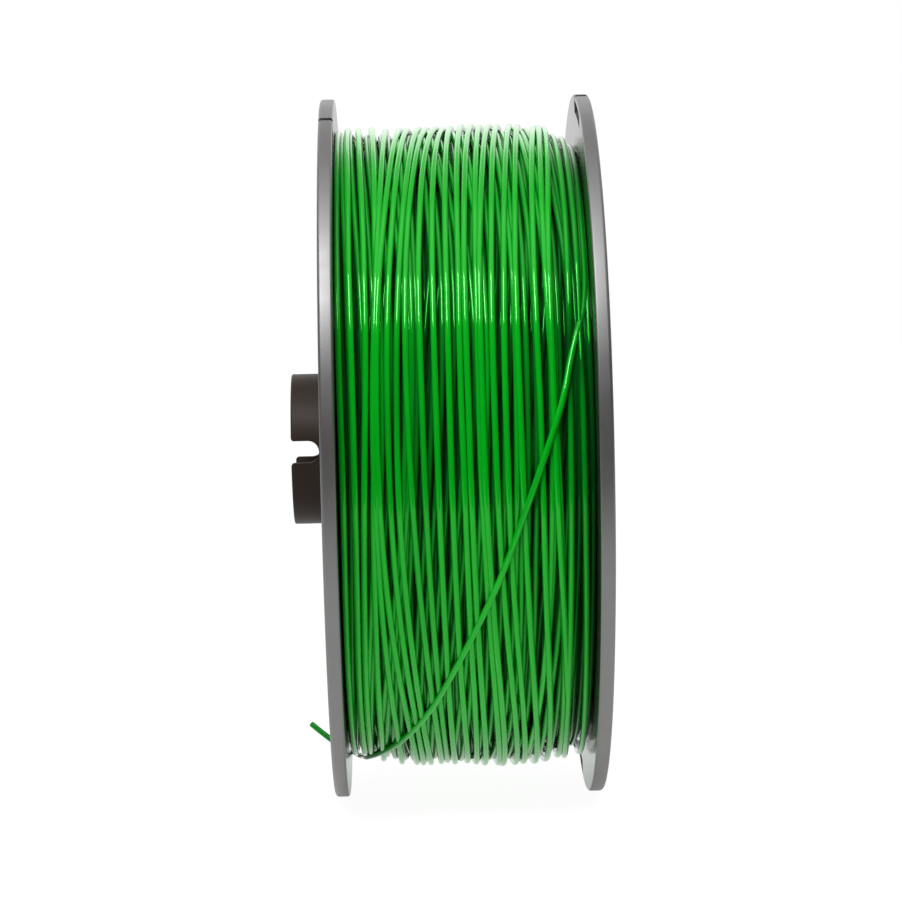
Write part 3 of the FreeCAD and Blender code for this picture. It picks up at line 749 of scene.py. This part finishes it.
# %% Finished pieces
def finish_piece(piece, material, slot, body, *nodes):
    """Smooth shading, a finish, a body to ride on and the CAD nodes that it stands for."""
    take_up(piece)
    bpy.ops.object.shade_smooth_by_angle(angle=math.radians(32))
    weights = piece.modifiers.new("weights", "WEIGHTED_NORMAL")
    weights.keep_sharp = True
    bpy.ops.object.modifier_apply(modifier=weights.name)
    piece.data.materials.clear()
    piece.data.materials.append(material)
    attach(piece, body)
    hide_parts(*nodes)
    print(f"{piece.name}: {len(piece.data.polygons)} faces")


# %% [markdown]
# The rim and the pad round the hub are the full thickness, and the web between them is
# thinner. Six ribs cross the web. Three lugs on the spigot snap into the drum, and three
# long slots show how much strand is left. The right flange's clips have tongues that stand
# a little lower than the rim.

# %% Flanges
THICK = OUTER_FACE - INNER_FACE
OVERLAP = 0.5  # how far a rib or a cutter reaches past a face
LEFT_CLIP_RISE, RIGHT_CLIP_RISE = 67.4, 82.0  # the upper clips' mouths, degrees
RIGHT_TONGUE_DROP = 0.25


def flange(name, side, hub_corners, clip_rise, tongue_drop=0):
    """A flange on the left (side -1) or the right (side 1)."""
    def along(*depths):
        return sorted(side * (INNER_FACE + depth) for depth in depths)

    corners = [(-LAND_LENGTH, BORE_RADIUS), (-LAND_LENGTH, LAND_RADIUS),
               (-SPIGOT_LENGTH, LAND_RADIUS), (-SPIGOT_LENGTH, SPIGOT_RADIUS),
               (0, SPIGOT_RADIUS), (0, FLANGE_RADIUS), (THICK, FLANGE_RADIUS),
               (THICK, RIM_INSIDE), (WEB_THICKNESS, RIM_INSIDE), (WEB_THICKNESS, PAD_RADIUS),
               (THICK, PAD_RADIUS)] + hub_corners
    piece = turned(name, [(side * (INNER_FACE + x), r) for x, r in corners])
    round_rings(piece, [(side * (INNER_FACE + x), r, rounding) for x, r, rounding in (
        (0, FLANGE_RADIUS, 0.7), (THICK, FLANGE_RADIUS, 0.9), (THICK, RIM_INSIDE, 0.4),
        (WEB_THICKNESS, RIM_INSIDE, 0.4), (THICK, PAD_RADIUS, 0.4))])
    for k in range(RIBS):
        combine(piece, block(along(WEB_THICKNESS - 0.6, THICK - 0.01),
                             (PAD_RADIUS - OVERLAP, RIM_INSIDE + OVERLAP), RIB_WIDTH,
                             30 + 60 * k), "UNION")
    through = along(-OVERLAP, THICK + OVERLAP)
    for k in range(3):
        combine(piece, block(along(-LUG_OFFSET - LUG_LENGTH, -LUG_OFFSET),
                             (SPIGOT_RADIUS - 1, SPIGOT_RADIUS + LUG_PROUD),
                             LUG_WIDTH, 90 + 120 * k), "UNION")
        combine(piece, long_slot(through, SIGHT_LOW, SIGHT_HIGH, SIGHT_WIDTH, 120 * k - 90))
    for rise in (clip_rise, clip_rise + 180):
        combine(piece, arc_block(through, (CLIP_LOW, CLIP_HIGH), rise, CLIP_SPAN))
        combine(piece, block(through, (CLIP_LOW + 1.7, FLANGE_RADIUS + 1), CLIP_MOUTH, rise))
        if tongue_drop:
            combine(piece, arc_block(through, (FLANGE_RADIUS - tongue_drop, FLANGE_RADIUS + 1),
                                     rise, CLIP_SPAN))
    finish_piece(piece, flange_plastic, "flange_plastic", "reel", name)


flange("left_flange", -1, [(THICK, BORE_RADIUS)], LEFT_CLIP_RISE)
flange("right_flange", 1, [
    (THICK, RECESS_RADIUS), (RECESS_FACE - INNER_FACE, RECESS_RADIUS),
    (RECESS_FACE - INNER_FACE, BORE_RADIUS)], RIGHT_CLIP_RISE, RIGHT_TONGUE_DROP)

# %% [markdown]
# ## Hub sleeve
#
# The sleeve is a plain bush whose collar stands out of the left flange.

# %% Hub sleeve
COLLAR_END = -OUTER_FACE - COLLAR_LENGTH
sleeve = turned("sleeve", [
    (COLLAR_END, SLEEVE_BORE), (COLLAR_END, COLLAR_RADIUS), (COLLAR_FOOT, COLLAR_RADIUS),
    (COLLAR_FOOT, SLEEVE_RADIUS), (GROOVE_START, SLEEVE_RADIUS), (GROOVE_START, GROOVE_RADIUS),
    (GROOVE_END, GROOVE_RADIUS), (GROOVE_END, SLEEVE_RADIUS), (OUTER_FACE, SLEEVE_RADIUS),
    (OUTER_FACE, SLEEVE_BORE)], 160)
round_rings(sleeve, [(COLLAR_END, COLLAR_RADIUS, 0.5), (COLLAR_END, SLEEVE_BORE, 0.3),
                     (COLLAR_FOOT, COLLAR_RADIUS, 0.2), (OUTER_FACE, SLEEVE_RADIUS, 0.3)])

# %% [markdown]
# Two slots for driving dogs cross the collar, one on the near side and one on the far side.
# One cutter makes both: its outline is a slot with a round end and a mouth that widens to
# the collar's edge, and it is drawn out across the whole collar.

# %% Slots in the collar
CUTTER_REACH = 30.0  # to each side of the axis, past the collar
slot_half = DOG_SLOT_WIDTH / 2
slot_floor = -OUTER_FACE - DOG_SLOT_FLOOR
flare = [(COLLAR_END + DOG_SLOT_LEAD * (1 - math.sin(a)),
          slot_half + DOG_SLOT_LEAD * (1 - math.cos(a)))
         for a in np.radians(np.arange(0, 91, 15))]
round_end = [(slot_floor - slot_half + slot_half * math.sin(a), slot_half * math.cos(a))
             for a in np.radians(np.arange(0, 181, 10))]
upper = [(COLLAR_END - 1, flare[-1][1])] + flare[::-1] + round_end
outline = upper + [(x, -z) for x, z in upper[:len(flare) + 1][::-1]]
cutter = outline_piece("dog_slots", [(x, -CUTTER_REACH, z) for x, z in outline])
bpy.ops.object.mode_set(mode="EDIT")
bpy.ops.mesh.select_all(action="SELECT")
bpy.ops.mesh.extrude_region_move(
    TRANSFORM_OT_translate={"value": (0, 2 * CUTTER_REACH * MM, 0)})
bpy.ops.mesh.select_all(action="SELECT")
bpy.ops.mesh.normals_make_consistent(inside=False)
bpy.ops.object.mode_set(mode="OBJECT")
combine(sleeve, cutter)
finish_piece(sleeve, sleeve_plastic, "sleeve_plastic", "hub", "hub_sleeve")

# %% [markdown]
# ## Drum and snap ring
#
# These two are hidden apart from what shows through the slots, so the CAD model's own pieces
# stay and only get their finish.

# %% Finishes on the CAD pieces
for node, finish in (("drum", drum_plastic), ("sleeve_snap_ring", sleeve_plastic)):
    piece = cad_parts[node]
    piece.data.materials.clear()
    piece.data.materials.append(finish)
    print(f"{node}: {finish.name}")

# %% [markdown]
# ## Studio
#
# The light is that of a white photo tent with its front open. So the world is bright above
# and behind, and dark towards the camera. Its brightness is a ramp over the climb, the
# angle about the X axis, and it falls off to both sides. The camera sees plain white.

# %% World
# climb 0 is down behind, 0.5 is level towards the camera, 0.75 is straight up and 1 is behind
TENT = [(0.0, 0.42), (0.06, 0.3), (0.25, 0.1), (0.40, 0.02), (0.64, 0.02), (0.69, 0.85),
        (0.75, 0.85), (0.78, 0.25), (0.86, 0.3), (0.885, 0.8), (0.95, 0.7), (0.98, 0.42),
        (1.0, 0.42)]
TENT_STRENGTH = 2.2
SIDE_START, SIDE_FULL, SIDE_GREY = 0.6, 0.95, 0.03  # the fall-off to both sides
WHITE = (1, 1, 1, 1)

scene = bpy.context.scene
world = bpy.data.worlds.new("photo_tent")
scene.world = world
world.use_nodes = True
tree = world.node_tree
tree.nodes.clear()
direction = new_node(tree, "ShaderNodeTexCoord").outputs["Generated"]
parts = new_node(tree, "ShaderNodeSeparateXYZ", {0: direction})
towards = new_node(tree, "ShaderNodeMath", {0: parts.outputs["Y"], 1: -1.0},
                   operation="MULTIPLY")
climb = new_node(tree, "ShaderNodeMath", {0: parts.outputs["Z"], 1: towards.outputs[0]},
                 operation="ARCTAN2")
around = new_node(tree, "ShaderNodeMapRange", {
    "Value": climb.outputs[0], "From Min": -math.pi, "From Max": math.pi})
tent = new_node(tree, "ShaderNodeValToRGB", {0: around.outputs["Result"]})
greys = tent.color_ramp.elements
while len(greys) < len(TENT):
    greys.new(0.5)
for element, (place, grey) in zip(greys, TENT):
    element.position = place
    element.color = (grey, grey, grey, 1)
aside = new_node(tree, "ShaderNodeMath", {0: parts.outputs["X"]}, operation="ABSOLUTE")
side = new_node(tree, "ShaderNodeMapRange", {
    "Value": aside.outputs[0], "From Min": SIDE_START, "From Max": SIDE_FULL})
whole = new_node(tree, "ShaderNodeMix", {
    0: side.outputs["Result"], 6: tent.outputs["Color"],
    7: (SIDE_GREY, SIDE_GREY, SIDE_GREY, 1)}, data_type="RGBA")
lit = new_node(tree, "ShaderNodeBackground", {
    "Color": whole.outputs[2], "Strength": TENT_STRENGTH})
white = new_node(tree, "ShaderNodeBackground", {"Color": WHITE, "Strength": 1.0})
seen = new_node(tree, "ShaderNodeLightPath").outputs["Is Camera Ray"]
both = new_node(tree, "ShaderNodeMixShader", {0: seen, 1: lit.outputs[0], 2: white.outputs[0]})
world_output = new_node(tree, "ShaderNodeOutputWorld")
tree.links.new(both.outputs[0], world_output.inputs["Surface"])
print("world:", world.name)

# %% [markdown]
# White paper lies under the reel and ends a little in front of it. It is a matt white that
# also glows: light from the tent's walls reaches it from all round, and glow costs no time
# in rendering. One mix is for the light that it throws on the reel. The other one is for
# the camera, where the paper is nearly plain white with a faint contact shadow.

# %% Floor
FLOOR_SIZE, FLOOR_MIDDLE = 8, 3.67  # metres
LIT_GLOW, LIT_SHARE = 1.45, 0.45  # for the light on the reel
SEEN_GLOW, SEEN_SHARE = 1.06, 0.9  # for the camera

bpy.ops.object.select_all(action="DESELECT")
bpy.ops.mesh.primitive_plane_add(
    size=FLOOR_SIZE, location=(0, FLOOR_MIDDLE, -FLANGE_RADIUS * MM))
floor = bpy.context.object
floor.name = "floor"
paper, tree = new_material("white_paper_floor")
matt = new_node(tree, "ShaderNodeBsdfDiffuse", {"Color": (0.95, 0.95, 0.95, 1)})
sides = []
for glow, share in ((LIT_GLOW, LIT_SHARE), (SEEN_GLOW, SEEN_SHARE)):
    glowing = new_node(tree, "ShaderNodeEmission", {"Color": WHITE, "Strength": glow})
    sides.append(new_node(tree, "ShaderNodeMixShader", {
        0: share, 1: matt.outputs[0], 2: glowing.outputs[0]}))
seen = new_node(tree, "ShaderNodeLightPath").outputs["Is Camera Ray"]
mixed = new_node(tree, "ShaderNodeMixShader", {
    0: seen, 1: sides[0].outputs[0], 2: sides[1].outputs[0]})
paper_output = new_node(tree, "ShaderNodeOutputMaterial")
tree.links.new(mixed.outputs[0], paper_output.inputs["Surface"])
floor.data.materials.append(paper)
print("floor:", paper.name)

# %% [markdown]
# One wide soft lamp hangs in front, 52 degrees up and somewhat to the left. It makes the
# bright band across the winding and the highlights on the rims.

# %% Lamp
def soft_lamp(name, rise, swing, distance, size, power):
    """A lamp aimed at the reel, from its angles above the front and to the right of it."""
    rise, swing = math.radians(rise), math.radians(swing)
    place = Vector((math.sin(swing) * math.cos(rise), -math.cos(swing) * math.cos(rise),
                    math.sin(rise))) * distance
    bpy.ops.object.select_all(action="DESELECT")
    bpy.ops.object.light_add(type="AREA", location=place)
    lamp = bpy.context.object
    lamp.name = name
    lamp.data.shape = "RECTANGLE"
    lamp.data.size, lamp.data.size_y = size
    lamp.data.energy = power
    lamp.rotation_mode = "QUATERNION"
    lamp.rotation_quaternion = (-place).to_track_quat("-Z", "Y")
    print(f"{name}: {power} W")


soft_lamp("front_lamp", rise=52, swing=-18, distance=1.2, size=(0.4, 0.37), power=12.3)
scene.view_settings.view_transform = "Standard"
